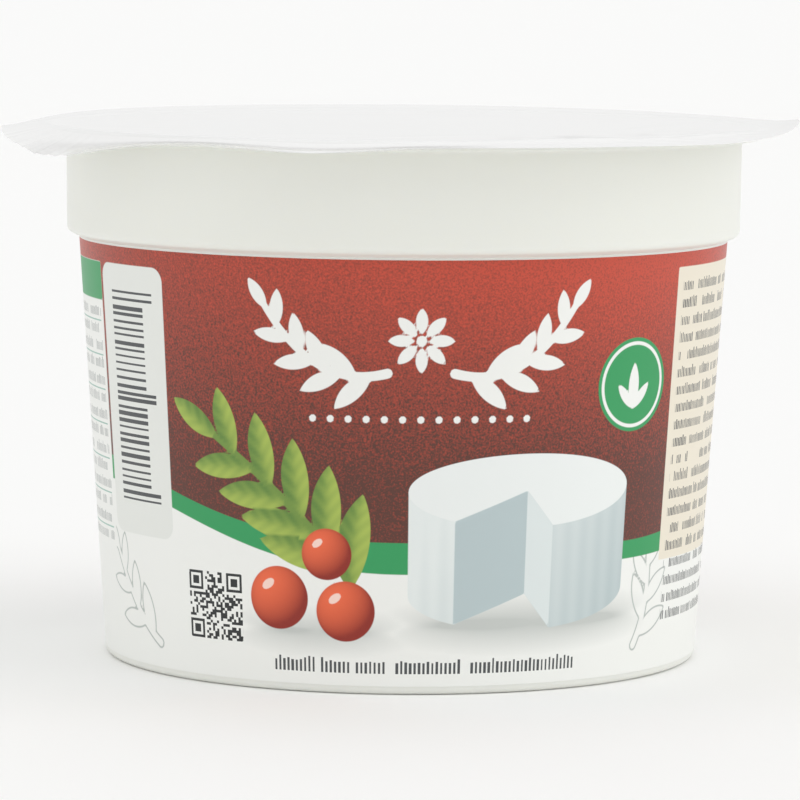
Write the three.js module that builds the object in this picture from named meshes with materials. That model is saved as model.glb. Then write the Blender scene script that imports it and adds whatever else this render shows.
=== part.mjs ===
// A sealed tub of fresh cheese: a round, tapered tub in white moulded plastic with a straight collar under its
// rim, a printed label wrapped round the taper, and a thin film lid sealed onto the rim, its edge left loose.
// Millimetres, +Z up, origin at the centre of the base. The front of the label faces -Y.

import * as THREE from 'three';

// Driving dimensions

const BASE_RADIUS = 41.7;       // taper's radius where it meets the table
const TAPER_TOP_RADIUS = 45.7;  // taper's radius just under the collar
const COLLAR_RADIUS = 47.5;     // a 95 mm tub
const COLLAR_DRAFT = 0.14;      // the collar is that much narrower at its foot
const COLLAR_FOOT = 59.4;       // height of the collar's underside
const SEAL_HEIGHT = 74.5;       // height of the rim's top, where the film is sealed
const FLANGE_RADIUS = 50.5;     // outer edge of the rim
const FLANGE_THICKNESS = 1.2;

const BASE_CORNER = 1.5;        // rounding between the base and the wall
const COLLAR_CORNER = 1.3;      // rounding of the collar's foot
const FLANGE_FILLET = 0.7;      // hollow corner between the collar and the rim
const FLANGE_EDGE = 0.35;       // rounding of the rim's edge

const STANDING_RING = 2.4;      // width of the flat ring that the tub stands on
const BASE_RECESS = 1.6;        // depth of the base inside that ring
const RECESS_SLOPE = 1.2;       // width of the sloping side of that recess

const LABEL_FOOT = 2.6;         // height of the label's lower edge
const LABEL_TOP = 58.75;        // height of its upper edge, just under the collar
const LABEL_THICKNESS = 0.4;
const CLEARANCE = 0.3;          // gap between a piece and what carries it

const FILM_RADIUS = 56.2;
const FILM_SHIFT = -0.7;        // the film was cut this far off centre, along X
const FILM_THICKNESS = 0.3;
const FILM_DOME = 0.5;          // rise of the film's middle
const SEAL_INNER_RADIUS = 46.0; // the film lies flat from here to the rim's edge
const FILM_TILT = 0.55;         // the loose edge stands this much higher behind and lower in front
const FILM_LIFT = 0.05;         // its mean height over the rim
const FILM_BEND = 1.4;          // power of the bend from the rim's edge to the film's edge

// Bends of the film's loose edge: the direction in degrees from +X, the half width, and the rise at its middle
const FILM_BENDS = [
  { at: 181, width: 20, rise: -1.05 },
  { at: 213, width: 13, rise: -2.8 },
  { at: 234, width: 6, rise: 0.8 },
  { at: 254, width: 10, rise: -0.95 },
  { at: 322, width: 12, rise: -0.3 },
  { at: 355, width: 17, rise: 1.1 },
];

const WALL_SEGMENTS = 80;       // steps round the tub and the label
const FILM_SEGMENTS = 120;      // steps round the film
const ARC_STEPS = 4;            // steps in each rounded corner

// Shared helpers

// Outer radius of the taper at a height.
function taperRadius(height) {
  return THREE.MathUtils.mapLinear(height, 0, COLLAR_FOOT, BASE_RADIUS, TAPER_TOP_RADIUS);
}

// Points of a rounded corner in a profile: radius across, height up, angles in quarter turns.
function corner(radius, height, size, fromQuarter, toQuarter) {
  return Array.from({ length: ARC_STEPS + 1 }, (_, i) => {
    const angle = THREE.MathUtils.lerp(fromQuarter, toQuarter, i / ARC_STEPS) * Math.PI / 2;
    return new THREE.Vector2(radius + size * Math.cos(angle), height + size * Math.sin(angle));
  });
}

// Turns a profile of radii and heights about the Z axis.
function turned(profile, segments) {
  const geometry = new THREE.LatheGeometry(profile, segments);
  geometry.rotateX(Math.PI / 2);
  return geometry;
}

function named(name, geometry, settings) {
  const mesh = new THREE.Mesh(geometry, new THREE.MeshStandardMaterial(settings));
  mesh.name = name;
  return mesh;
}

// The tub: a shut pack, so one solid from its standing ring up to the rim

function tubGeometry() {
  const ringOuter = taperRadius(BASE_CORNER) - BASE_CORNER;
  const ringInner = ringOuter - STANDING_RING;
  const recessFoot = LABEL_FOOT - CLEARANCE;
  const recessDepth = LABEL_THICKNESS + CLEARANCE;
  const collarFootRadius = COLLAR_RADIUS - COLLAR_DRAFT;
  const flangeUnderside = SEAL_HEIGHT - FLANGE_THICKNESS;

  return turned([
    // base and standing ring
    new THREE.Vector2(0, BASE_RECESS),
    new THREE.Vector2(ringInner - RECESS_SLOPE, BASE_RECESS),
    new THREE.Vector2(ringInner, 0),
    ...corner(ringOuter, BASE_CORNER, BASE_CORNER, -1, 0),

    // taper, with the shallow seat of the label
    new THREE.Vector2(taperRadius(recessFoot), recessFoot),
    new THREE.Vector2(taperRadius(recessFoot) - recessDepth, recessFoot),
    new THREE.Vector2(TAPER_TOP_RADIUS - recessDepth, COLLAR_FOOT),

    // collar
    ...corner(collarFootRadius - COLLAR_CORNER, COLLAR_FOOT + COLLAR_CORNER, COLLAR_CORNER, -1, 0),
    ...corner(COLLAR_RADIUS + FLANGE_FILLET, flangeUnderside - FLANGE_FILLET, FLANGE_FILLET, 2, 1),

    // rim and top
    ...corner(FLANGE_RADIUS - FLANGE_EDGE, flangeUnderside + FLANGE_EDGE, FLANGE_EDGE, -1, 0),
    ...corner(FLANGE_RADIUS - FLANGE_EDGE, SEAL_HEIGHT - FLANGE_EDGE, FLANGE_EDGE, 0, 1),
    new THREE.Vector2(0, SEAL_HEIGHT),
  ], WALL_SEGMENTS);
}

// The label: a thin sleeve that fills its seat out to the taper's surface

function labelGeometry() {
  const foot = taperRadius(LABEL_FOOT);
  const top = taperRadius(LABEL_TOP);
  return turned([
    new THREE.Vector2(foot - LABEL_THICKNESS, LABEL_FOOT),
    new THREE.Vector2(foot, LABEL_FOOT),
    new THREE.Vector2(top, LABEL_TOP),
    new THREE.Vector2(top - LABEL_THICKNESS, LABEL_TOP),
    new THREE.Vector2(foot - LABEL_THICKNESS, LABEL_FOOT),
  ], WALL_SEGMENTS);
}

// The film lid: a thin disc, flat on the rim, slightly domed inside it and bent up and down outside it

// Height of the film's loose edge over the rim, in a direction given in degrees.
function edgeRise(direction) {
  const tilt = FILM_LIFT + FILM_TILT * Math.sin(THREE.MathUtils.degToRad(direction));
  return FILM_BENDS.reduce((rise, bend) => {
    const away = THREE.MathUtils.euclideanModulo(direction - bend.at + 180, 360) - 180;
    return rise + bend.rise * Math.exp(-((away / bend.width) ** 2));
  }, tilt);
}

// How far a radius lies on the way from the rim's edge to the film's edge, from 0 to 1.
function overhang(radius) {
  return Math.max(0, THREE.MathUtils.mapLinear(radius, FLANGE_RADIUS, FILM_RADIUS, 0, 1));
}

// Height of the film over the rim, at a radius and direction of the flat disc that it was cut as.
function filmRise(radius, direction) {
  if (radius < SEAL_INNER_RADIUS) {
    return FILM_DOME * (1 - (radius / SEAL_INNER_RADIUS) ** 2) ** 2;
  }
  return edgeRise(direction) * overhang(radius) ** FILM_BEND;
}

// A flat disc of rings, whose points are then moved to the film's cut outline and to its height.
function filmGeometry() {
  const rings = [
    ...[0, 0.25, 0.5, 0.75, 1].map(share => share * SEAL_INNER_RADIUS),
    ...[0, 1 / 3, 2 / 3, 1].map(share => THREE.MathUtils.lerp(FLANGE_RADIUS, FILM_RADIUS, share)),
  ];
  const face = height => rings.map(radius => new THREE.Vector2(radius, height));
  const underside = SEAL_HEIGHT + CLEARANCE;
  const geometry = turned([...face(underside), ...face(underside + FILM_THICKNESS).reverse()], FILM_SEGMENTS);

  const position = geometry.getAttribute('position');
  const point = new THREE.Vector3();
  for (let i = 0; i < position.count; i++) {
    point.fromBufferAttribute(position, i);
    const radius = Math.hypot(point.x, point.y);
    const direction = THREE.MathUtils.radToDeg(Math.atan2(point.y, point.x));
    point.x += FILM_SHIFT * overhang(radius);
    point.z += filmRise(radius, direction);
    position.setXYZ(i, point.x, point.y, point.z);
  }
  geometry.computeVertexNormals();
  return geometry;
}

// The pack

const pack = new THREE.Group();
pack.add(
  named('tub', tubGeometry(), { color: 0xe6e8e1, roughness: 0.45, metalness: 0 }),
  named('label', labelGeometry(), { color: 0xa3503f, roughness: 0.4, metalness: 0 }),
  named('lid_film', filmGeometry(), { color: 0xf3f3f2, roughness: 0.35, metalness: 0 }),
);

export default pack;
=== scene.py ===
"""A sealed tub of fresh cheese: a white moulded tub, its printed label and its thin film lid.

Each surface is an array of points on a grid of two parameters, worked out in millimetres and put into a
mesh in metres. Directions round the tub are degrees from +X, seen from above, so the label's front is at
270. The label's print is a set of layers, each the distance in millimetres to the edge of a drawn shape,
kept on the label's points and turned into ink by its material.
"""

from math import pi, radians

import bpy
import numpy as np
from mathutils import Matrix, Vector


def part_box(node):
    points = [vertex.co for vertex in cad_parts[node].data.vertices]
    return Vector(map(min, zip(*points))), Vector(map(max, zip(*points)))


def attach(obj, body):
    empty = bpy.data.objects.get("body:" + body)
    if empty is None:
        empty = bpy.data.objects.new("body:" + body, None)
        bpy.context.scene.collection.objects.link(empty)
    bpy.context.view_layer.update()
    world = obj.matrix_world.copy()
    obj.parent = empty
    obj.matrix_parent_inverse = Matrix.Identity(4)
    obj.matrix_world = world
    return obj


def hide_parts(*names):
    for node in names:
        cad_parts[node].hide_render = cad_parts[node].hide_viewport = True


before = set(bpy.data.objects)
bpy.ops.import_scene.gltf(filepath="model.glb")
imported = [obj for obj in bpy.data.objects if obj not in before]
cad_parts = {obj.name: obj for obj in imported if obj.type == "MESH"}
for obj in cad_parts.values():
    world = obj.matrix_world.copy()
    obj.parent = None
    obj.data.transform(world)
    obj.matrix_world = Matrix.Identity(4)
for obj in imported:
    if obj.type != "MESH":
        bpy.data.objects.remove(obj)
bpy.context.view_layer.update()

MM = 0.001

# Sizes that the frame gives, in millimetres, and how much lower the label runs than its solid

tub_low, tub_high = (np.array(corner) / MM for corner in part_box("tub"))
label_low, label_high = (np.array(corner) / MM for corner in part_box("label"))
film_low, film_high = (np.array(corner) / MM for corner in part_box("lid_film"))

SEAL_HEIGHT = tub_high[2]
FLANGE_RADIUS = tub_high[0]
LABEL_DROP = 1.4
LABEL_FOOT = label_low[2] - LABEL_DROP
LABEL_TOP = label_high[2]
FILM_RADIUS = (film_high[0] - film_low[0]) / 2
FILM_SHIFT = (film_high[0] + film_low[0]) / 2

# The tub's own sizes, with slopes and leans in degrees

BASE_RADIUS = 41.7
TAPER_TOP_RADIUS = 45.7
TAPER_LEAN = 4
COLLAR_RADIUS = 47.5
COLLAR_DRAFT = 0.14
COLLAR_FOOT = 59.4
FLANGE_THICKNESS = 1.2
BASE_CORNER = 1.1
SHOULDER_CORNER = 1.0
SHOULDER_SLOPE = 66
SHOULDER_FOOT = 59.0
FLANGE_FILLET = 0.7
FLANGE_EDGE = 0.35
FLANGE_TOP_EDGE = 0.1
STANDING_RING = 2.4
BASE_RECESS = 1.6
RING_CORNER = 0.5
RECESS_SLOPE = 1.2
RECESS_CORNER = 1.0
RECESS_LEAN = 35
GATE_RADIUS = 2.2
GATE_TIP_RADIUS = 1.76
GATE_HEIGHT = 0.35
GATE_CLEARANCE = 4.4
TUB_COLUMNS = 256
LABEL_THICKNESS = 0.12
LABEL_SEAT = 0.14

# The film's own sizes

FILM_THICKNESS = 0.1
FILM_GAP = 0.02
FILM_DOME = 0.5
SEAL_INNER_RADIUS = 46.0
SEAL_BEAD = 0.15
SEAL_BEAD_WIDTH = 0.7
FILM_TILT = 0.52         # rise of the loose edge behind, and its fall in front
FILM_LIFT = -0.02        # its mean height over the rim
FRONT_POWER = 0.45       # power of the way out in front, where it falls steeply at first

# Where the loose film lets light through, and where its cut edge is rolled double
THIN_AT = 244            # middle direction
THIN_ENDS = (24, 42)     # degrees from there over which it turns opaque
THIN_ALPHA = 0.34        # share of light that one face stops
THIN_FADE = (0.3, 0.85)  # way out from the rim over which it falls to that
ROLL_AT = 257.5
ROLL_WIDTH = 7
ROLL_FADE = (0.7, 0.85)

# Bends of the film's loose edge: direction, half width in degrees, rise at the middle, and the power of the
# way out from the rim, under 1 where the film falls steeply at first and over 1 where it bends late
FILM_BENDS = [
    (168, 16, -0.95, 1.1),
    (195, 9, -0.7, 1.1),
    (212, 13, -2.75, 0.8),
    (229, 12, -0.4, 0.4),
    (257, 12, -0.9, 0.6),
    (322, 12, -0.2, 1.1),
    (357, 15, 1.25, 1.8),
]

# Where the film is cut closer to the rim: direction, half width in degrees, and depth
FILM_TRIMS = [(184, 9, 0.3), (230, 13, 2.6), (264, 30, 3.2)]

# Pleats of the hanging corner, and one deep fold in it
PLEATS_AT = 206
PLEATS_WIDTH = 11
PLEATS_PER_TURN = 106
PLEAT_DEPTH = 0.08
PLEAT_DRIFT = 1.2        # radians by which a slower wave shifts the pleats to and fro
DRIFTS_PER_TURN = 37
FOLD_AT = 207.6
FOLD_WIDTH = 0.9
FOLD_DEPTH = 0.3

# Creases strewn over the film: first and last direction, nearest and farthest radius, number, and tallest
# rise
CREASES = [
    (288, 342, 40, 50, 44, 0.12),
    (0, 360, 34, 51, 60, 0.06),
]
CREASE_SEED = 12
CREASE_WANDER = 0.3      # usual turn away from the rim's line, in radians
CREASE_LENGTHS = (3, 10)
CREASE_WIDTHS = (0.4, 0.8)
CREASE_RISES = (0.4, 1)  # shares of the tallest rise

# Columns and rings of the film's grid
PLEATED = (172, 232)     # directions between which the columns are close
PLEATED_STEP = 0.25
CALM_STEP = 0.9
DOME_RINGS = 36
RIM_RINGS = 12
LOOSE_RINGS = 18

FRONT = 270


def taper_radius(height):
    """Outer radius of the taper: a straight line from the base's radius to the collar's foot."""
    return BASE_RADIUS + (TAPER_TOP_RADIUS - BASE_RADIUS) * height / COLLAR_FOOT


def bell(value, middle, width):
    """A smooth bump: one at the middle, falling off as a Gaussian of that width."""
    return np.exp(-(((value - middle) / width) ** 2))


def fade(value, first, last):
    """A smooth step: 0 up to the first value, 1 from the last value on."""
    share = np.clip((value - first) / (last - first), 0, 1)
    return share ** 2 * (3 - 2 * share)


# Meshes from arrays


def grid_faces(rows, columns, wrap_rows=False):
    """Corners of a grid's quads: each point with its neighbours in the next column and row. Columns
    close."""
    index = np.arange(rows * columns).reshape(rows, columns)
    index = np.hstack([index, index[:, :1]])
    if wrap_rows:
        index = np.vstack([index, index[:1]])
    corners = (index[:-1, :-1], index[:-1, 1:], index[1:, 1:], index[1:, :-1])
    return np.stack(corners, axis=-1).reshape(-1, 4)


def make_piece(name, surface, material, sharp_degrees=35.0, wrap_rows=False):
    """A smooth mesh, in metres, of a surface given as rows and columns of points."""
    mesh = bpy.data.meshes.new(name)
    faces = grid_faces(*surface.shape[:2], wrap_rows)
    mesh.from_pydata(surface.reshape(-1, 3) * MM, [], faces.tolist())
    mesh.update()
    mesh.shade_smooth()
    mesh.set_sharp_from_angle(angle=radians(sharp_degrees))
    mesh.materials.append(material)
    piece = bpy.data.objects.new(name, mesh)
    bpy.context.scene.collection.objects.link(piece)
    return piece


def merge_poles(piece):
    """Merges the points that lie on one spot of the axis, which turns the quads there into triangles."""
    weld = piece.modifiers.new("poles", "WELD")
    weld.merge_threshold = 1e-7
    with bpy.context.temp_override(object=piece, active_object=piece, selected_objects=[piece]):
        bpy.ops.object.modifier_apply(modifier=weld.name)


def revolve(profile, directions):
    """Turns a profile of radii and heights about the axis: radius times cosine and sine, at each
    direction."""
    turn = np.radians(directions)
    radius, height = profile[:, 0, None], profile[:, 1, None]
    return np.stack([radius * np.cos(turn), radius * np.sin(turn), height + 0 * turn], axis=-1)


def arc(radius, height, size, start, end, steps=8):
    """Points of a rounded corner: a circle of that size, between two angles in degrees."""
    angle = np.radians(np.linspace(start, end, steps + 1))
    return np.column_stack([radius + size * np.cos(angle), height + size * np.sin(angle)])


# The tub


def tub_surface():
    """Profile from the middle of the base to the middle of the top: gate mark, recess, standing ring, taper
    with the label's seat, sloping shoulder, collar and rim, each corner an arc, turned about the axis."""
    ring_outer = taper_radius(BASE_CORNER) - BASE_CORNER
    ring_inner = ring_outer - STANDING_RING
    recess_radius = ring_inner - RECESS_SLOPE - RECESS_CORNER
    collar_foot_radius = COLLAR_RADIUS - COLLAR_DRAFT
    underside = SEAL_HEIGHT - FLANGE_THICKNESS
    seat_foot = taper_radius(LABEL_FOOT)
    seat_top = taper_radius(LABEL_TOP)
    shoulder_foot = taper_radius(SHOULDER_FOOT)
    corner_radius = collar_foot_radius - SHOULDER_CORNER
    run = corner_radius + SHOULDER_CORNER * np.cos(radians(SHOULDER_SLOPE)) - shoulder_foot
    fall = run / np.tan(radians(SHOULDER_SLOPE)) + SHOULDER_CORNER * np.sin(radians(SHOULDER_SLOPE))
    profile = np.vstack([
        [[0.0, BASE_RECESS - GATE_HEIGHT], [GATE_TIP_RADIUS, BASE_RECESS - GATE_HEIGHT]],
        [[GATE_RADIUS, BASE_RECESS], [GATE_RADIUS + GATE_CLEARANCE, BASE_RECESS]],
        arc(recess_radius, BASE_RECESS - RECESS_CORNER, RECESS_CORNER, 90, RECESS_LEAN),
        arc(ring_inner + RING_CORNER, RING_CORNER, RING_CORNER, 180 + RECESS_LEAN, 270),
        arc(ring_outer, BASE_CORNER, BASE_CORNER, -90, TAPER_LEAN),
        [[seat_foot, LABEL_FOOT], [seat_foot - LABEL_SEAT, LABEL_FOOT]],
        [[seat_top - LABEL_SEAT, LABEL_TOP], [seat_top, LABEL_TOP]],
        [[shoulder_foot, SHOULDER_FOOT]],
        arc(corner_radius, SHOULDER_FOOT + fall, SHOULDER_CORNER, -SHOULDER_SLOPE, 0),
        arc(COLLAR_RADIUS + FLANGE_FILLET, underside - FLANGE_FILLET, FLANGE_FILLET, 180, 90),
        arc(FLANGE_RADIUS - FLANGE_EDGE, underside + FLANGE_EDGE, FLANGE_EDGE, -90, 0),
        arc(FLANGE_RADIUS - FLANGE_TOP_EDGE, SEAL_HEIGHT - FLANGE_TOP_EDGE, FLANGE_TOP_EDGE, 0, 90),
        [[SEAL_INNER_RADIUS, SEAL_HEIGHT], [0.0, SEAL_HEIGHT]],
    ])
    directions = np.arange(TUB_COLUMNS) * 360 / TUB_COLUMNS
    return revolve(profile, directions)


# The label

LABEL_RADIUS = taper_radius((LABEL_FOOT + LABEL_TOP) / 2)
HALF_TURN = pi * LABEL_RADIUS
SEAM_AT = 93.0  # across, from the middle of the front
SEAM_WIDTH = 0.5
SEAM_DEPTH = 0.08
LABEL_ROWS = 134

# Heights and margin in the label's second map
MAP_MARGIN = 0.005
MAP_HALF_HEIGHT = 0.47
MAP_UPPER_FOOT = 0.485
MAP_STRIP_FOOT = 0.97
MAP_STRIP_STEP = 0.01

# Stretches of the label across, from the middle of its back, and the columns' width in each: fine under the
# pictures, finest at the seam and wide under the panels of lines
LABEL_STRETCHES = [
    (-HALF_TURN, -95.0, 0.3),
    (-95.0, -52.0, 1.2),
    (-52.0, 46.0, 0.3),
    (46.0, 92.0, 1.2),
    (92.0, 94.0, 0.1),
    (94.0, HALF_TURN, 0.3),
]


def label_grid():
    """Across and up of the label's columns and rows, in millimetres from the front and from the base."""
    columns = [np.arange(start, end - width / 2, width) for start, end, width in LABEL_STRETCHES]
    return np.concatenate(columns), np.linspace(LABEL_FOOT, LABEL_TOP, LABEL_ROWS)


def label_surface(across, up):
    """The taper's radius at each height, less a groove where the label's ends meet, then back down on the
    inside, one thickness further in."""
    heights = np.concatenate([up, up[::-len(up) + 1]])
    inset = np.concatenate([0 * up, [LABEL_THICKNESS, LABEL_THICKNESS]])
    groove = SEAM_DEPTH * bell(across, SEAM_AT, SEAM_WIDTH / 2)
    directions = FRONT + np.degrees(across / LABEL_RADIUS)
    radius = (taper_radius(heights) - inset)[:, None] - groove * (inset == 0)[:, None]
    turn = np.radians(directions)
    height = np.broadcast_to(heights[:, None], radius.shape)
    return np.stack([radius * np.cos(turn), radius * np.sin(turn), height], axis=-1)


def label_maps(mesh, across, up):
    """Two maps over the label's faces: millimetres across and up, and the label cut in two halves, the right
    one above the left, with its hidden side squeezed into a strip at the top."""
    rows, columns = len(up) + 2, len(across)
    row, column = np.divmod(np.arange(rows * columns), columns)
    next_column = np.stack([column, column + 1, column + 1, column], axis=-1)
    next_row = np.stack([row, row, row + 1, row + 1], axis=-1)
    x = np.append(across, HALF_TURN)[next_column]
    y = np.concatenate([up, up[::-len(up) + 1], up[:1]])[next_row]
    right = (column >= np.searchsorted(across, 0))[:, None]
    share = (y - LABEL_FOOT) / (LABEL_TOP - LABEL_FOOT)
    hidden = (row >= len(up) - 1)[:, None]
    strip = MAP_STRIP_FOOT + MAP_STRIP_STEP * (next_row - len(up) + 1)
    from_left = np.where(right, x, x + HALF_TURN) / HALF_TURN
    u = np.where(hidden, (x + HALF_TURN) / (2 * HALF_TURN), from_left)
    u = MAP_MARGIN + (1 - 2 * MAP_MARGIN) * u
    v = np.where(hidden, strip, np.where(right, MAP_UPPER_FOOT, MAP_MARGIN) + MAP_HALF_HEIGHT * share)
    for name, values in (("label_mm", (x, y)), ("OFBake", (u, v))):
        layer = mesh.uv_layers.new(name=name)
        layer.uv.foreach_set("vector", np.stack(values, axis=-1).astype(np.float32).ravel())


# The label's print: distances in millimetres, negative inside a shape, and tones from 0, dark, to 1, light

# The dark field
SHORE_HEIGHT = 23.5           # mean height of its lower edge
SHORE_LONG_WAVE = (4.6, 0.75)  # waves of that edge: rise, and shift in radians
SHORE_SHORT_WAVE = (1.6, 0.4)
FIELD_DARK = 28.0             # height where its tone starts to rise
FIELD_TOP_TONE = 0.85             # that tone at the top, in the middle
# The field's fall to the left is painted shade and its rise to the right is painted light, as if a lamp
# stood on the right. Its rise towards the top is the print's own.
PAINTED_SHADE_LEFT = 0.24              # painted shade: what it loses to the left
PAINTED_LIGHT_RIGHT = 0.15             # painted light: what it gains to the right
PAINTED_SIDE_LIGHT_REACH = 30               # how far out that painted light and shade reach
PAINTED_SIDE_LIGHT_TURN = 45                # where they start to turn back
GRAIN_DEPTH = 1.5

# The band under it
BAND_WIDTH = 3.4
BAND_SWELL = 0.9
BAND_OVERLAP = 0.1

# Leafy stems: start, bend and end, number of leaves, and the longest leaf's length
BRANCH = (((4.4, -4.4), (14.0, -7.0), (21.0, 4.5)), 9, 6.6)
SPRIG = (((-5.2, 11.8), (-11.0, 24.0), (-27.0, 34.5)), 10, 13.0)
SKETCHES = [
    (((-39.0, 4.6), (-45.0, 8.0), (-50.0, 16.5)), 6, 7.5),
    (((37.5, 5.0), (41.0, 10.5), (39.5, 19.0)), 6, 7.5),
]

# Their leaves and stems
FIRST_LEAF = 0.12             # share of the stem below the first leaf
LEAF_STRETCH = 0.86           # share of it from the first leaf to the last
LEAF_SHORTER = 0.35           # share of its length that a leaf at the stem's end lacks
LEAF_ANGLE = 38
LEAF_BEND = 0.012
LEAF_WIDTH = 0.33             # over its length
VEIN_PITCH = 2.1
VEIN_SLANT = 1.1
MIDRIB = 0.8                  # width of the soft step between a leaf's halves
LEAF_TONE = 0.52              # mean tone, and what the halves, the veins and the tip change in it
HALVES_TONE = 0.3
VEINS_TONE = 0.08
TIP_TONE = 0.1
STEM_WIDTHS = (0.5, 0.28)     # half widths at its start and end
STEM_TONE = 0.3
STEM_DISCS = 200
SPRIG_BOLD = 0.16             # everything is grown by this

# The ornament
ORNAMENT_AT = (2.5, 48.0)
ROSETTE_RADIUS = 4.4
PETALS = 8
PETAL_AT = 0.6                # this and the next three are shares of the rosette's radius
PETAL_LENGTH = 0.8
PETAL_WIDTH = 0.36
HEART_RADIUS = 0.16
DOTS_UNDER = 10.6
DOT_PITCH = 2.4
DOT_RADIUS = 0.5
DOTS = 13

# The roundel and its bud
SEAL_AT = (34.2, 41.2)
SEAL_RADIUS = 6.4
SEAL_RING_INSET = 0.12        # this and the next are shares of the roundel's radius
BUD_FOOT = 0.52
BUD_LEAVES = [(90, 1.0), (50, 0.72), (130, 0.72)]  # direction, and share of the bud's length
BUD_LEAF_WIDTH = 0.3

# The berries: middle and radius
BERRIES = [((-10.2, 19.0), 3.5), ((-17.2, 12.8), 4.3), ((-7.6, 11.3), 4.1)]
GLOSS_AT = (-0.36, 0.42)      # this and the next are shares of a berry's radius
GLOSS_SIZE = (0.24, 0.14)
GLOSS_TURN = 35
BERRY_LIGHT = (-0.42, 0.5, 0.76)  # direction of the light: across, up and out

# The cheese wheel
WHEEL_AT = (17.5, 27.6)       # middle of its top
WHEEL_SIZE = (16.5, 5.0, 14.0)  # half width, half depth of the top, and height
WEDGE = (232, 284)            # directions of the two cuts
WALL_TONE = 0.62
WALL_FALL = 0.34              # what the wall's tone loses from its middle to the right
WALL_RISE = 0.012             # what it gains in each millimetre up
RIB_DEPTH = 0.05              # tone of the ribs left by a basket
RIBS_ACROSS = 40              # radians of their wave in half the width

# Shadows under the wheel and the berries: middle, half width and half height
SHADOWS = [((19.0, 9.6), (16.5, 2.4)), ((-11.6, 8.4), (8.4, 1.5))]

# A ladder of bars
BARS_AT = (-43.3, 38.3)
BARS_SIZE = (3.9, 14.8)       # half width and half height
GUARD_OUT = 2.1               # how far the guard bars stand out on one side
GUARD_HEIGHT = 0.9            # half the height of a group of them
BAR_PITCH = 0.98
BAR_LEAST = 0.13              # least half height as a share of the pitch, and what chance adds to it
BAR_MORE = 0.2
BAR_LOWEST = 0.35             # lowest middle in its step, and what chance adds to it
BAR_HIGHER = 0.3

# A square matrix of squares
MATRIX_MODULE = 0.37
MATRIX_SIDE = 25
MATRIX_CORNER = (-87, 17)     # the first square's column and row
EYE_FROM_MIDDLE = 9           # squares from its middle to a ringed square, across and up
EYE_RING = 3.0
EYE_CORE = 1.5
EYE_MARGIN = 4.5

# Small print
LINE_PITCH = 2.4
STROKE_PITCH = 0.46
STROKE_FOOT = 0.26            # share of the row below a stroke
STROKE_TOP = 0.72             # least top in the row, and what chance adds to it
TOP_MORE = 0.2
TALL_SELDOM = 4.0             # power that keeps high tops rare
STROKE_MARGIN = 0.17          # least margin in the cell, and what chance adds to it
MARGIN_MORE = 0.14
GROUP_LENGTH = 1.9            # scale of the noise that parts the groups
GROUP_GAP = 0.37              # level of it under which there is a gap
ROW_JUMP = 7.3                # way from row to row in it
FOOT_SCALE = 1.35             # how much larger the line at the foot is

# Rules of a table
TABLE_PITCH = 4.8
RULE_WIDTH = 0.2

# Plain fields: middle across and up, half width and half height, and the corners' radius
FIELDS = {
    "bar_panel": ((-42.55, 37.75), (7.5, 18.6), 2.0),
    "table": ((-73.3, 36.4), (22.6, 19.9), 0.0),
    "table_rows": ((-73.3, 33.6), (21.6, 16.8), 0.0),
    "table_header": ((-73.3, 53.6), (22.6, 2.65), 0.0),
    "cream_panel": ((68.4, 36.5), (25.9, 20.2), 0.0),
    "small_print": ((68.4, 31.2), (24.4, 24.0), 0.0),
    "foot_line": ((3.9, 3.7), (22.0, FOOT_SCALE * LINE_PITCH / 2), 0.0),
}

# Distances that stand for no shape at all: while the nearest is looked for, and on the label's hidden side
FAR = 1e3
BARE = 9.0


def placed(x, y, at, degrees=0.0):
    """Coordinates of a motif that sits at a point and is turned by an angle."""
    cos, sin = np.cos(np.radians(degrees)), np.sin(np.radians(degrees))
    dx, dy = x - at[0], y - at[1]
    return dx * cos + dy * sin, dy * cos - dx * sin


def leaf(x, y, length, width):
    """Distance to a pointed leaf along x: the overlap of two equal discs, whose arcs meet at its tips."""
    radius = (length ** 2 + width ** 2) / (4 * width)
    return np.hypot(x, np.abs(y) + radius - width / 2) - radius


def oval(x, y, half_width, half_height):
    """Nearly the distance to an oval: the scaled radius less one, over the steepness of the scaled
    radius."""
    scaled = np.hypot(x / half_width, y / half_height)
    steepness = np.hypot(x / half_width ** 2, y / half_height ** 2)
    return (scaled - 1) * scaled / np.maximum(steepness, 1e-6)


def slab(x, y, half_width, half_height, corner):
    """Distance to a box with round corners: the distance to the smaller box of the corners' centres."""
    dx, dy = np.abs(x) - half_width + corner, np.abs(y) - half_height + corner
    outside = np.hypot(np.maximum(dx, 0), np.maximum(dy, 0))
    return outside + np.minimum(np.maximum(dx, dy), 0) - corner


def stroke(x, y, path, half_width):
    """Distance to a brush stroke: the nearest of the discs strung closely along a path."""
    distance = np.full_like(x, FAR)
    for (at_x, at_y), half in zip(path, half_width):
        distance = np.minimum(distance, np.hypot(x - at_x, y - at_y) - half)
    return distance


def curve(start, bend, end, share):
    """Points of a curve that leaves start towards bend and comes into end from it."""
    share = np.asarray(share)[..., None]
    start, bend, end = (np.array(point) for point in (start, bend, end))
    return (1 - share) ** 2 * start + 2 * share * (1 - share) * bend + share ** 2 * end


def shore(x):
    """Height of the line where the dark field ends: two waves round the label, one twice as long."""
    turn = 2 * pi * x / HALF_TURN
    long_rise, long_shift = SHORE_LONG_WAVE
    short_rise, short_shift = SHORE_SHORT_WAVE
    return SHORE_HEIGHT - long_rise * np.cos(turn - long_shift) + short_rise * np.sin(2 * turn + short_shift)


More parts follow.
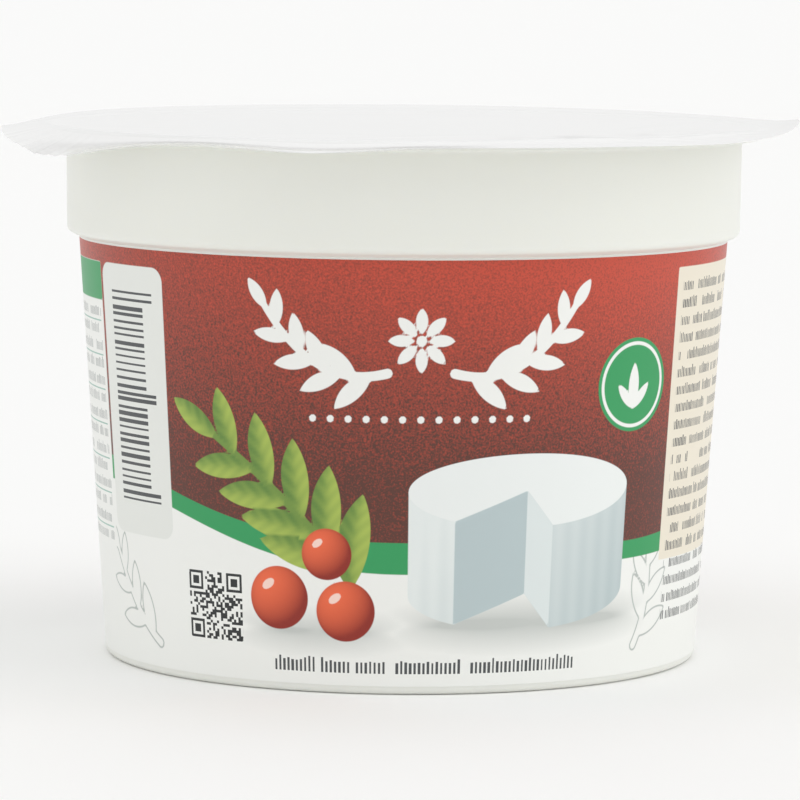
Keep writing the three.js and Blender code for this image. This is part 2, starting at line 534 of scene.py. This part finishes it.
def sprig(x, y, stem, leaves, longest):
    """Leaves by turns on either side of a curved stem, shorter towards its tip: distance and tone. A leaf's
    midrib parts a light half from a dark one, and slanted veins cross both. All is grown a little, so that
    no pinhole is left where leaves meet the stem."""
    distance = np.full_like(x, FAR)
    tone = np.zeros_like(x)
    for i in range(leaves):
        share = FIRST_LEAF + LEAF_STRETCH * i / (leaves - 1)
        spot, ahead = curve(*stem, [share, share + 0.02])
        heading = np.degrees(np.arctan2(*(ahead - spot)[::-1]))
        side = 0 if i == leaves - 1 else (-1) ** (i + 1)
        length = longest * (1 - LEAF_SHORTER * share)
        along, across = placed(x, y, spot, heading + LEAF_ANGLE * side)
        along = along - length / 2
        across = across - LEAF_BEND * side * (along ** 2 - length ** 2 / 4)
        blade = leaf(along, across, length, length * LEAF_WIDTH)
        veins = np.cos(2 * pi * (along - VEIN_SLANT * np.abs(across)) / VEIN_PITCH)
        halves = np.tanh(across / MIDRIB) * (1 if side >= 0 else -1)
        blade_tone = LEAF_TONE + HALVES_TONE * halves + VEINS_TONE * veins + TIP_TONE * along / length
        tone = np.where(blade < distance, blade_tone, tone)
        distance = np.minimum(distance, blade)
    path = curve(*stem, np.linspace(0, 1, STEM_DISCS))
    twig = stroke(x, y, path, np.linspace(*STEM_WIDTHS, STEM_DISCS))
    tone = np.where(twig < distance, STEM_TONE, tone)
    return np.minimum(distance, twig) - SPRIG_BOLD, np.clip(tone, 0, 1)


def ball_tone(x, y, radius):
    """Light on a ball: the cosine between its surface and a light at the upper left."""
    across, up = x / radius, y / radius
    out = np.sqrt(np.clip(1 - across ** 2 - up ** 2, 0, 1))
    light_across, light_up, light_out = BERRY_LIGHT
    return np.clip(light_across * across + light_up * up + light_out * out, 0, 1)


def berries(x, y):
    """Round fruit side by side: distance, the tone of the nearest and the distance to their gloss marks."""
    distance = np.full_like(x, FAR)
    tone = np.zeros_like(x)
    gloss = np.full_like(x, FAR)
    for at, radius in BERRIES:
        from_x, from_y = placed(x, y, at)
        ball = np.hypot(from_x, from_y) - radius
        tone = np.where(ball < distance, ball_tone(from_x, from_y, radius), tone)
        mark = placed(from_x, from_y, np.multiply(GLOSS_AT, radius), GLOSS_TURN)
        gloss = np.minimum(gloss, oval(*mark, *np.multiply(GLOSS_SIZE, radius)))
        distance = np.minimum(distance, ball)
    return distance, tone, gloss


def cut_wheel(x, y):
    """A round white cheese seen from a little above, with a wedge cut out in front, as layers. The body is
    the top's oval, the wall under it and the foot's oval. The wedge runs from the top's middle to two spots
    of its edge and down both cut faces, each the space between four straight lines."""
    half_width, half_depth, height = WHEEL_SIZE
    across, over = placed(x, y, WHEEL_AT)
    top = oval(across, over, half_width, half_depth)
    foot = oval(across, over + height, half_width, half_depth)
    wall = slab(across, over + height / 2, half_width, height / 2, 0)
    open_top = open_floor = np.full_like(x, -FAR)
    faces = []
    for spot in np.radians(WEDGE):
        end_x, end_y = half_width * np.cos(spot), half_depth * np.sin(spot)
        steepness = np.hypot(1, end_y / end_x)
        above = (over - end_y / end_x * across) / steepness
        fall = height / steepness
        beyond = (across - end_x) * np.sign(end_x)
        open_top = np.maximum(open_top, np.maximum(beyond, above))
        open_floor = np.maximum(open_floor, np.maximum(beyond, above + fall))
        strip = np.abs(across - end_x / 2) - np.abs(end_x) / 2
        faces.append(np.maximum(strip, np.abs(above + fall / 2) - fall / 2))
    tone = WALL_TONE - WALL_FALL * np.clip(across / half_width, -1, 1) + WALL_RISE * (over + height)
    ribs = RIB_DEPTH * np.cos(RIBS_ACROSS * across / half_width)
    return {
        "wheel": np.maximum(np.minimum(np.minimum(top, foot), wall), -open_floor),
        "wheel_tone": np.clip(tone + ribs, 0, 1),
        "wheel_top": np.maximum(top, -open_top),
        "wheel_shaded_cut": faces[0],
        "wheel_lit_cut": faces[1],
    }


def bud(x, y, at, length):
    """Three leaves that open from one spot."""
    distance = np.full_like(x, FAR)
    for degrees, share in BUD_LEAVES:
        along, across = placed(x, y, at, degrees)
        reach = length * share
        distance = np.minimum(distance, leaf(along - reach / 2, across, reach, reach * BUD_LEAF_WIDTH))
    return distance


def ornament(x, y):
    """Two leafy branches that mirror each other about a rosette of petals, over a row of dots."""
    from_x, from_y = placed(x, y, ORNAMENT_AT)
    distance = sprig(np.abs(from_x), from_y, *BRANCH)[0]
    petal_at, petal_length, petal_width, heart_radius = np.multiply(
        (PETAL_AT, PETAL_LENGTH, PETAL_WIDTH, HEART_RADIUS), ROSETTE_RADIUS
    )
    for degrees in np.arange(PETALS) * 360 / PETALS:
        along, across = placed(from_x, from_y, (0, 0), degrees)
        distance = np.minimum(distance, leaf(along - petal_at, across, petal_length, petal_width))
    distance = np.minimum(distance, np.hypot(from_x, from_y) - heart_radius)
    spaced = (from_x + DOT_PITCH / 2) % DOT_PITCH - DOT_PITCH / 2
    dots = np.hypot(spaced, from_y + DOTS_UNDER) - DOT_RADIUS
    row_end = np.abs(from_x) - DOTS / 2 * DOT_PITCH
    return np.minimum(distance, np.maximum(dots, row_end))


def print_layers(across, up):
    """Every layer of the print at each point. The pictures come twice, on the front and on the back, so they
    are drawn over half a turn, and the panels of lines lie between them. The sketches are on the front
    only."""
    x = (across + HALF_TURN / 2) % HALF_TURN - HALF_TURN / 2
    y = up
    layers = {}
    edge = shore(x)
    layers["field"] = edge - y
    # Painted light on the field's right and painted shade on its left, fading out towards the back. The
    # tone's rise from the foot to the top is the print's own.
    painted_side_light_tone = np.where(x > 0, PAINTED_LIGHT_RIGHT, PAINTED_SHADE_LEFT) * np.clip(x / PAINTED_SIDE_LIGHT_REACH, -1, 1)
    painted_side_light_tone = FIELD_TOP_TONE + painted_side_light_tone * (1 - fade(np.abs(x), PAINTED_SIDE_LIGHT_TURN, HALF_TURN / 2))
    bright = painted_side_light_tone * np.clip((y - FIELD_DARK) / (LABEL_TOP - FIELD_DARK), 0, 1)
    layers["field_tone"] = bright - GRAIN_DEPTH / 2
    thickness = BAND_WIDTH + BAND_SWELL * np.cos(4 * pi * x / HALF_TURN)
    layers["band"] = np.maximum(y - edge - BAND_OVERLAP, edge - thickness - y)
    layers["sprig"], layers["sprig_tone"] = sprig(x, y, *SPRIG)
    layers["berry"], layers["berry_tone"], layers["berry_gloss"] = berries(x, y)
    layers.update(cut_wheel(x, y))
    layers["ornament"] = ornament(x, y)
    seal_x, seal_y = placed(x, y, SEAL_AT)
    layers["seal"] = np.hypot(seal_x, seal_y) - SEAL_RADIUS
    layers["seal_ring"] = layers["seal"] + SEAL_RING_INSET * SEAL_RADIUS
    layers["seal_bud"] = bud(seal_x, seal_y, (0, -BUD_FOOT * SEAL_RADIUS), SEAL_RADIUS)
    layers["sketch"] = np.min([sprig(across, up, *sketch)[0] for sketch in SKETCHES], axis=0)
    layers["shadow"] = np.min([oval(*placed(x, y, at), *half) for at, half in SHADOWS], axis=0)
    layers["seam"] = np.abs(across - SEAM_AT) - SEAM_WIDTH / 2
    for name, (at, half, corner) in FIELDS.items():
        layers[name] = slab(*placed(across, up, at), *half, corner)
    bars_x, bars_y = placed(across, up, BARS_AT)
    layers["bars"] = slab(bars_x, bars_y, *BARS_SIZE, 0)
    for at in (-1, 0, 1):
        guard_y = bars_y - at * (BARS_SIZE[1] - GUARD_HEIGHT)
        guard = slab(bars_x - GUARD_OUT / 2, guard_y, BARS_SIZE[0] + GUARD_OUT / 2, GUARD_HEIGHT, 0)
        layers["bars"] = np.minimum(layers["bars"], guard)
    matrix_half = MATRIX_MODULE * MATRIX_SIDE / 2
    matrix_at = MATRIX_MODULE * np.array(MATRIX_CORNER) + matrix_half
    layers["matrix"] = slab(*placed(across, up, matrix_at), matrix_half, matrix_half, 0)
    return layers


def put_print(mesh, across, up):
    """Keeps each layer as numbers on the label's points. The hidden side has no ink."""
    x, y = np.meshgrid(across, up)
    for name, values in print_layers(x, y).items():
        bare = np.full((2, len(across)), 0.0 if name.endswith("tone") else BARE)
        layer = mesh.attributes.new(f"print_{name}", "FLOAT", "POINT")
        layer.data.foreach_set("value", np.vstack([values, bare]).astype(np.float32).ravel())


# The film lid


def away(direction, middle):
    """Degrees from a middle direction, the short way round."""
    return (direction - middle + 180) % 360 - 180


def loose_rise(direction, overhang):
    """Rise of the film outside the rim: a tilt from front to back, which behind grows evenly outwards and
    in front falls steeply at first, plus the bends, each a bell round the tub times a power of the way
    out."""
    tilt = np.sin(np.radians(direction))
    power = np.where(tilt < 0, 1 + (FRONT_POWER - 1) * tilt ** 2, 1)
    rise = (FILM_LIFT + FILM_TILT * tilt) * overhang ** power
    for at, width, height, power in FILM_BENDS:
        rise = rise + height * bell(away(direction, at), 0, width) * overhang ** power
    return rise


def film_pleats(direction, overhang):
    """Pleats of the hanging corner: an uneven wave along the edge and one deep fold, both growing evenly
    from the rim outwards."""
    turn = np.radians(direction)
    wave = np.sin(PLEATS_PER_TURN * turn + PLEAT_DRIFT * np.sin(DRIFTS_PER_TURN * turn))
    reach = bell(away(direction, PLEATS_AT), 0, PLEATS_WIDTH)
    fold = bell(away(direction, FOLD_AT), 0, FOLD_WIDTH)
    return overhang * (PLEAT_DEPTH * reach * wave - FOLD_DEPTH * fold)


def film_creases(x, y):
    """Small creases that run roughly along the rim: each a bell across its line and a longer bell along
    it."""
    rng = np.random.default_rng(CREASE_SEED)
    height = np.zeros_like(x)
    for first, last, nearest, farthest, count, tallest in CREASES:
        for _ in range(count):
            direction = np.radians(rng.uniform(first, last))
            radius = rng.uniform(nearest, farthest)
            heading = direction + pi / 2 + rng.normal(0, CREASE_WANDER)
            length, width = rng.uniform(*CREASE_LENGTHS), rng.uniform(*CREASE_WIDTHS)
            rise = tallest * rng.uniform(*CREASE_RISES)
            middle = radius * np.cos(direction), radius * np.sin(direction)
            along, across = placed(x, y, middle, np.degrees(heading))
            height += rise * bell(along, 0, length) * bell(across, 0, width)
    return height


def film_alpha(direction, overhang):
    """The share of light that one face of the film stops: all on the rim, less on the loose edge in front
    and at its left, and all again where the cut edge is rolled."""
    thin = (1 - fade(np.abs(away(direction, THIN_AT)), *THIN_ENDS)) * fade(overhang, *THIN_FADE)
    rolled = bell(away(direction, ROLL_AT), 0, ROLL_WIDTH) * fade(overhang, *ROLL_FADE)
    return 1 - (1 - THIN_ALPHA) * thin * (1 - rolled)


def film_surface():
    """Rings of a disc, closer at the rim: a low dome inside the seal, a bead on the rim, and outside it the
    loose edge with its pleats. The underside is the same sheet, one thickness lower. Gives its points and
    how much light it stops at each."""
    first, last = PLEATED
    pleated = np.arange(first, last, PLEATED_STEP)
    calm = np.arange(last, first + 360 - CALM_STEP / 2, CALM_STEP)
    rings = np.concatenate([
        np.linspace(0, SEAL_INNER_RADIUS, DOME_RINGS)[:-1],
        np.linspace(SEAL_INNER_RADIUS, FLANGE_RADIUS, RIM_RINGS)[:-1],
        np.linspace(FLANGE_RADIUS, FILM_RADIUS, LOOSE_RINGS),
    ])
    radius, direction = np.meshgrid(rings, np.concatenate([pleated, calm]), indexing="ij")
    overhang = np.clip((radius - FLANGE_RADIUS) / (FILM_RADIUS - FLANGE_RADIUS), 0, 1)
    trims = [depth * bell(away(direction, at), 0, width) for at, width, depth in FILM_TRIMS]
    reach = radius - np.sum(trims, axis=0) * overhang
    turn = np.radians(direction)
    x = reach * np.cos(turn) + FILM_SHIFT * overhang
    y = reach * np.sin(turn)
    dome = FILM_DOME * np.clip(1 - (radius / SEAL_INNER_RADIUS) ** 2, 0, 1) ** 2
    bead = SEAL_BEAD * bell(radius, FLANGE_RADIUS - SEAL_BEAD_WIDTH, SEAL_BEAD_WIDTH)
    loose = loose_rise(direction, overhang) + film_pleats(direction, overhang)
    rise = dome + bead + loose + film_creases(x, y)
    under = np.stack([x, y, SEAL_HEIGHT + FILM_GAP + rise], axis=-1)
    top = under + [0, 0, FILM_THICKNESS]
    alpha = film_alpha(direction, overhang)
    return np.vstack([under, top[::-1]]), np.vstack([alpha, alpha[::-1]])


# Materials


def linear(hex_colour):
    """sRGB hex to linear red, green, blue and 1."""
    value = np.array([int(hex_colour[i:i + 2], 16) for i in (1, 3, 5)]) / 255
    value = np.where(value <= 0.04045, value / 12.92, ((value + 0.055) / 1.055) ** 2.4)
    return (*value.tolist(), 1.0)


def add(tree, kind, inputs=None, output=0, **settings):
    """Adds a node with its settings and links, and gives one of its outputs. An input is a value, or the
    output of another node that feeds it."""
    node = tree.nodes.new(f"ShaderNode{kind}")
    for setting, value in settings.items():
        setattr(node, setting, value)
    for socket, value in (inputs or {}).items():
        if isinstance(value, bpy.types.NodeSocket):
            tree.links.new(value, node.inputs[socket])
        else:
            node.inputs[socket].default_value = value
    return node.outputs[output] if node.outputs else None


def new_material(name):
    material = bpy.data.materials.new(name)
    material.use_nodes = True
    material.node_tree.nodes.clear()
    return material, material.node_tree


def moulded_polypropylene():
    """White polypropylene, injection moulded: satin, milky, so that its shades are soft, with the mould's
    faint fine texture."""
    material, tree = new_material("moulded_polypropylene")
    place = add(tree, "TexCoord", output="Object")
    peel = add(tree, "TexNoise", {"Vector": place, "Scale": 1 / (0.6 * MM), "Detail": 3.0})
    bump = add(tree, "Bump", {"Height": peel, "Strength": 0.12, "Distance": 0.05 * MM})
    shader = add(tree, "BsdfPrincipled", {
        "Base Color": linear("#edeee7"), "Roughness": 0.38, "IOR": 1.49, "Normal": bump,
        "Subsurface Weight": 0.25, "Subsurface Scale": 1.0,
        "Subsurface Radius": (1.6 * MM, 1.5 * MM, 1.3 * MM),
    })
    add(tree, "OutputMaterial", {"Surface": shader})
    return material


def sealing_film():
    """White polyester film: thin, smooth and softly glossy, a little cockled. Part of its loose edge lets
    what lies behind it show faintly, so the rim reads through it as a grey band."""
    material, tree = new_material("sealing_film")
    place = add(tree, "TexCoord", output="Object")
    cockle = add(tree, "TexNoise", {"Vector": place, "Scale": 1 / (4.0 * MM), "Detail": 2.0})
    bump = add(tree, "Bump", {"Height": cockle, "Strength": 0.04, "Distance": 0.4 * MM})
    alpha = add(tree, "Attribute", output="Fac", attribute_name="film_alpha")
    shader = add(tree, "BsdfPrincipled", {
        "Base Color": linear("#f4f4f3"), "Roughness": 0.25, "IOR": 1.55, "Alpha": alpha, "Normal": bump,
    })
    add(tree, "OutputMaterial", {"Surface": shader})
    return material


# Half the width of an ink's edge, and the grain of the print, drawn coarser than real dots so that it shows
INK_EDGE = 0.07
GRAIN = 0.28

LABEL_WHITE = "#f3f4f0"
GREEN = "#2f9c5c"
DARK_INK = "#4b4e50"
PALE_INK = "#a9adab"

# Inks in the order they are laid: the layer that bounds it, its colour or its darkest and lightest colours,
# and where they are given, half the width of an outline, half the width of a soft edge, the pattern that
# breaks the ink up, and the depth of its grain
INKS = [
    {"layer": "shadow", "shades": ["#c6cac6"], "edge": 2.2},
    {"layer": "sketch", "shades": ["#b6bcb8"], "line": 0.12},
    {"layer": "band", "shades": [GREEN]},
    # The field's tone carries painted light on its right and painted shade on its left, as well as its
    # printed fall from red to brown.
    {"layer": "field", "shades": ["#5a3328", "#c84a34"], "grain": GRAIN_DEPTH},
    {"layer": "sprig", "shades": ["#3f7430", "#b3c65a"]},
    {"layer": "berry", "shades": ["#8f2413", "#ee6a42"]},
    {"layer": "berry_gloss", "shades": ["#fbd9cc"]},
    {"layer": "wheel", "shades": ["#a6b8bb", "#e8eeec"]},
    {"layer": "wheel_top", "shades": ["#eef2f0"]},
    {"layer": "wheel_shaded_cut", "shades": ["#b9c8ca"]},
    {"layer": "wheel_lit_cut", "shades": ["#dfe7e6"]},
    {"layer": "ornament", "shades": [LABEL_WHITE]},
    {"layer": "seal", "shades": [GREEN]},
    {"layer": "seal_ring", "shades": [LABEL_WHITE], "line": 0.24},
    {"layer": "seal_bud", "shades": [LABEL_WHITE]},
    {"layer": "table", "shades": [LABEL_WHITE]},
    {"layer": "table_header", "shades": [GREEN]},
    {"layer": "table_rows", "shades": ["#9fc2b6"], "pattern": "rules"},
    {"layer": "table_rows", "shades": [PALE_INK], "pattern": "strokes"},
    {"layer": "cream_panel", "shades": ["#ece4d2"]},
    {"layer": "small_print", "shades": [DARK_INK], "pattern": "strokes"},
    {"layer": "foot_line", "shades": [DARK_INK], "pattern": "foot_strokes"},
    {"layer": "bar_panel", "shades": ["#e8eae5"]},
    {"layer": "bars", "shades": [DARK_INK], "pattern": "bars", "edge": 0.03},
    {"layer": "matrix", "shades": ["#26292a"], "pattern": "squares", "edge": 0.03},
    {"layer": "seam", "shades": ["#f0f1ee"]},
]


def rules(tree, spread):
    """Thin lines across at an even pitch: the distance to the nearest multiple of the pitch is small."""
    up = add(tree, "SeparateXYZ", {0: spread}, output="Y")
    distance = add(tree, "Math", {0: up, 1: TABLE_PITCH / 2}, operation="PINGPONG")
    return add(tree, "Math", {0: distance, 1: RULE_WIDTH / 2}, operation="LESS_THAN")


def strokes(tree, spread):
    """Rows of upright strokes in groups, as print too small to read looks: one stroke in each cell of a
    grid, its width and height by chance, left out where a noise along the row makes a gap between groups."""
    cells = add(tree, "VectorMath", {0: spread, 1: (STROKE_PITCH, LINE_PITCH, 1)}, operation="DIVIDE")
    number = add(tree, "VectorMath", {0: cells}, operation="FLOOR")
    through = add(tree, "VectorMath", {0: cells}, operation="FRACTION")
    chance = add(tree, "TexWhiteNoise", {"Vector": number}, output="Color")
    wide = add(tree, "SeparateXYZ", {0: chance})
    tall = add(tree, "Math", {0: wide.node.outputs["Y"], 1: TALL_SELDOM}, operation="POWER")
    across = add(tree, "SeparateXYZ", {0: through})
    up = across.node.outputs["Y"]
    middle = add(tree, "Math", {0: across, 1: 0.5}, operation="PINGPONG")
    margin = add(tree, "Math", {0: wide, 1: MARGIN_MORE, 2: STROKE_MARGIN}, operation="MULTIPLY_ADD")
    in_width = add(tree, "Math", {0: middle, 1: margin}, operation="GREATER_THAN")
    top = add(tree, "Math", {0: tall, 1: TOP_MORE, 2: STROKE_TOP}, operation="MULTIPLY_ADD")
    under_top = add(tree, "Math", {0: up, 1: top}, operation="LESS_THAN")
    over_foot = add(tree, "Math", {0: up, 1: STROKE_FOOT}, operation="GREATER_THAN")
    step = (STROKE_PITCH / GROUP_LENGTH, ROW_JUMP, 0)
    along = add(tree, "VectorMath", {0: number, 1: step}, operation="MULTIPLY")
    groups = add(tree, "TexNoise", {"Vector": along, "Scale": 1.0, "Detail": 0.0})
    in_group = add(tree, "Math", {0: groups, 1: GROUP_GAP}, operation="GREATER_THAN")
    in_height = add(tree, "Math", {0: under_top, 1: over_foot}, operation="MULTIPLY")
    stroke_share = add(tree, "Math", {0: in_width, 1: in_height}, operation="MULTIPLY")
    return add(tree, "Math", {0: stroke_share, 1: in_group}, operation="MULTIPLY")


def foot_strokes(tree, spread):
    """The strokes again, but larger, and counted from the lower left corner of the line at the foot."""
    (x, y), (half_width, half_height), _ = FIELDS["foot_line"]
    corner = (x - half_width, y - half_height, 0)
    moved = add(tree, "VectorMath", {0: spread, 1: corner}, operation="SUBTRACT")
    larger = add(tree, "VectorMath", {0: moved, "Scale": 1 / FOOT_SCALE}, operation="SCALE")
    return strokes(tree, larger)


def bars(tree, spread):
    """A ladder of bars: one in each step up it, its height and its middle by chance, so the spaces differ
    too. The steps are wider than the label, so each runs straight across."""
    cells = add(tree, "VectorMath", {0: spread, 1: (1000, BAR_PITCH, 1)}, operation="DIVIDE")
    number = add(tree, "VectorMath", {0: cells}, operation="FLOOR")
    through = add(tree, "VectorMath", {0: cells}, operation="FRACTION")
    chance = add(tree, "TexWhiteNoise", {"Vector": number}, output="Color")
    height = add(tree, "SeparateXYZ", {0: chance})
    half = add(tree, "Math", {0: height, 1: BAR_MORE, 2: BAR_LEAST}, operation="MULTIPLY_ADD")
    shift = {0: height.node.outputs["Y"], 1: BAR_HIGHER, 2: BAR_LOWEST}
    middle = add(tree, "Math", shift, operation="MULTIPLY_ADD")
    up = add(tree, "SeparateXYZ", {0: through}, output="Y")
    return add(tree, "Math", {0: up, 1: middle, 2: half}, operation="COMPARE")


def squares(tree, spread):
    """Squares that are dark or light by chance. In three corners lies a ringed square with a clear margin,
    where the larger of the distances across and up to its middle gives the ring, the core and the margin."""
    cells = add(tree, "VectorMath", {0: spread, 1: (MATRIX_MODULE, MATRIX_MODULE, 1)}, operation="DIVIDE")
    number = add(tree, "VectorMath", {0: cells}, operation="FLOOR")
    chance = add(tree, "TexWhiteNoise", {"Vector": number})
    dark = add(tree, "Math", {0: chance, 1: 0.5}, operation="GREATER_THAN")
    middle = tuple(corner + MATRIX_SIDE // 2 for corner in MATRIX_CORNER)
    place = add(tree, "VectorMath", {0: number, 1: (*middle, 0)}, operation="SUBTRACT")
    across = add(tree, "SeparateXYZ", {0: place})
    slant = add(tree, "Math", {0: across, 1: across.node.outputs["Y"]}, operation="SUBTRACT")
    not_fourth = add(tree, "Math", {0: slant, 1: EYE_FROM_MIDDLE}, operation="LESS_THAN")
    from_middle = add(tree, "VectorMath", {0: place}, operation="ABSOLUTE")
    eyes = (EYE_FROM_MIDDLE, EYE_FROM_MIDDLE, 0)
    from_eye = add(tree, "VectorMath", {0: from_middle, 1: eyes}, operation="SUBTRACT")
    from_eye = add(tree, "VectorMath", {0: from_eye}, operation="ABSOLUTE")
    eye_across = add(tree, "SeparateXYZ", {0: from_eye})
    eye = add(tree, "Math", {0: eye_across, 1: eye_across.node.outputs["Y"]}, operation="MAXIMUM")
    ring = add(tree, "Math", {0: eye, 1: EYE_RING, 2: 0.5}, operation="COMPARE")
    core = add(tree, "Math", {0: eye, 1: EYE_CORE}, operation="LESS_THAN")
    ringed = add(tree, "Math", {0: ring, 1: core}, operation="MAXIMUM")
    near_eye = add(tree, "Math", {0: eye, 1: EYE_MARGIN}, operation="LESS_THAN")
    in_eye = add(tree, "Math", {0: near_eye, 1: not_fourth}, operation="MULTIPLY")
    return add(tree, "Mix", {0: in_eye, 2: dark, 3: ringed}, data_type="FLOAT")


def printed_label_film():
    """Polypropylene film, offset printed and moulded into the wall: satin, flat to the touch, with the fine
    grain of the print and a faint peel from the mould."""
    material, tree = new_material("printed_label_film")
    place = add(tree, "TexCoord", output="Object")
    spread = add(tree, "UVMap", uv_map="label_mm")
    grain = add(tree, "TexNoise", {"Vector": place, "Scale": 1 / (GRAIN * MM), "Detail": 1.0})
    kinds = (rules, strokes, foot_strokes, bars, squares)
    patterns = {pattern.__name__: pattern(tree, spread) for pattern in kinds}
    colour = linear(LABEL_WHITE)
    for ink in INKS:
        layer = f"print_{ink['layer']}"
        distance = add(tree, "Attribute", output="Fac", attribute_name=layer)
        if "line" in ink:
            distance = add(tree, "Math", {0: distance}, operation="ABSOLUTE")
            distance = add(tree, "Math", {0: distance, 1: ink["line"]}, operation="SUBTRACT")
        edge = ink.get("edge", INK_EDGE)
        share = add(tree, "MapRange", {"Value": distance, "From Min": edge, "From Max": -edge})
        if "pattern" in ink:
            share = add(tree, "Math", {0: share, 1: patterns[ink["pattern"]]}, operation="MULTIPLY")
        shade = linear(ink["shades"][0])
        if len(ink["shades"]) > 1:
            tone = add(tree, "Attribute", output="Fac", attribute_name=f"{layer}_tone")
            if "grain" in ink:
                tone = add(tree, "Math", {0: grain, 1: ink["grain"], 2: tone}, operation="MULTIPLY_ADD")
            lightest = linear(ink["shades"][1])
            shade = add(tree, "Mix", {0: tone, 6: shade, 7: lightest}, output=2, data_type="RGBA")
        colour = add(tree, "Mix", {0: share, 6: colour, 7: shade}, output=2, data_type="RGBA")
    peel = add(tree, "TexNoise", {"Vector": place, "Scale": 1 / (0.9 * MM), "Detail": 2.0})
    bump = add(tree, "Bump", {"Height": peel, "Strength": 0.12, "Distance": 0.05 * MM})
    shader = add(tree, "BsdfPrincipled", {
        "Base Color": colour, "Roughness": 0.4, "IOR": 1.49, "Normal": bump,
    })
    add(tree, "OutputMaterial", {"Surface": shader})
    return material


# Pieces

tub = make_piece("tub_shell", tub_surface(), moulded_polypropylene())
merge_poles(tub)
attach(tub, "root")
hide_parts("tub")

label_across, label_up = label_grid()
label_points = label_surface(label_across, label_up)
label = make_piece("wrap_label", label_points, printed_label_film(), wrap_rows=True)
label_maps(label.data, label_across, label_up)
put_print(label.data, label_across, label_up)
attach(label, "root")
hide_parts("label")

film_points, alpha = film_surface()
film = make_piece("film_lid", film_points, sealing_film(), sharp_degrees=60.0)
film_layer = film.data.attributes.new("film_alpha", "FLOAT", "POINT")
film_layer.data.foreach_set("value", alpha.astype(np.float32).ravel())
merge_poles(film)
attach(film, "root")
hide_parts("lid_film")

# Floor, light and camera

FLOOR = 8.0  # half its width, in metres
floor_mesh = bpy.data.meshes.new("floor")
floor_corners = [(-FLOOR, -FLOOR, 0), (FLOOR, -FLOOR, 0), (FLOOR, FLOOR, 0), (-FLOOR, FLOOR, 0)]
floor_mesh.from_pydata(floor_corners, [], [(0, 1, 2, 3)])
floor = bpy.data.objects.new("floor", floor_mesh)
bpy.context.scene.collection.objects.link(floor)
floor_material, floor_tree = new_material("pale_floor")
floor_shader = add(floor_tree, "BsdfPrincipled", {"Base Color": linear("#fbfbfa"), "Roughness": 0.8})
add(floor_tree, "OutputMaterial", {"Surface": floor_shader})
floor_mesh.materials.append(floor_material)

SKY_STRENGTH = 0.6
world = bpy.data.worlds.new("studio")
world.use_nodes = True
world.node_tree.nodes["Background"].inputs["Color"].default_value = (1, 1, 1, 1)
world.node_tree.nodes["Background"].inputs["Strength"].default_value = SKY_STRENGTH
bpy.context.scene.world = world

# Soft lamps: bearing in degrees from +X, height in degrees, strength, and the angle that each fills
LAMPS = {
    "right_softbox": (350, 25, 0.77, 60),
    "left_softbox": (190, 12, 0.45, 60),
    "top_softbox": (270, 75, 0.68, 80),
    "front_softbox": (270, 6, 0.1, 50),
    "back_softbox": (90, 30, 0.32, 80),
}
for name, (bearing, height, strength, angle) in LAMPS.items():
    lamp = bpy.data.lights.new(name, "SUN")
    lamp.energy = strength
    lamp.angle = radians(angle)
    holder = bpy.data.objects.new(name, lamp)
    holder.matrix_world = (
        Matrix.Rotation(radians(bearing + 90), 4, "Z") @ Matrix.Rotation(radians(90 - height), 4, "X")
    )
    bpy.context.scene.collection.objects.link(holder)

# The camera, fitted to the outlines of collar, base and film: millimetres and degrees
CAMERA_DISTANCE = 706.94
CAMERA_HEIGHT = 106.54
CAMERA_PITCH = 5.728
CAMERA_ROLL = 0.4935
CAMERA_HEADING = 0.023
CAMERA_LENS = 225.77
SENSOR_WIDTH = 36

camera_data = bpy.data.cameras.new("camera")
camera_data.sensor_width = SENSOR_WIDTH
camera_data.lens = CAMERA_LENS
camera_data.clip_end = 100
camera = bpy.data.objects.new("camera", camera_data)
camera.matrix_world = (
    Matrix.Translation((0, -CAMERA_DISTANCE * MM, CAMERA_HEIGHT * MM))
    @ Matrix.Rotation(radians(CAMERA_HEADING), 4, "Z")
    @ Matrix.Rotation(radians(90 - CAMERA_PITCH), 4, "X")
    @ Matrix.Rotation(radians(CAMERA_ROLL), 4, "Z")
)
bpy.context.scene.collection.objects.link(camera)
bpy.context.scene.camera = camera
bpy.context.scene.view_settings.view_transform = "Standard"
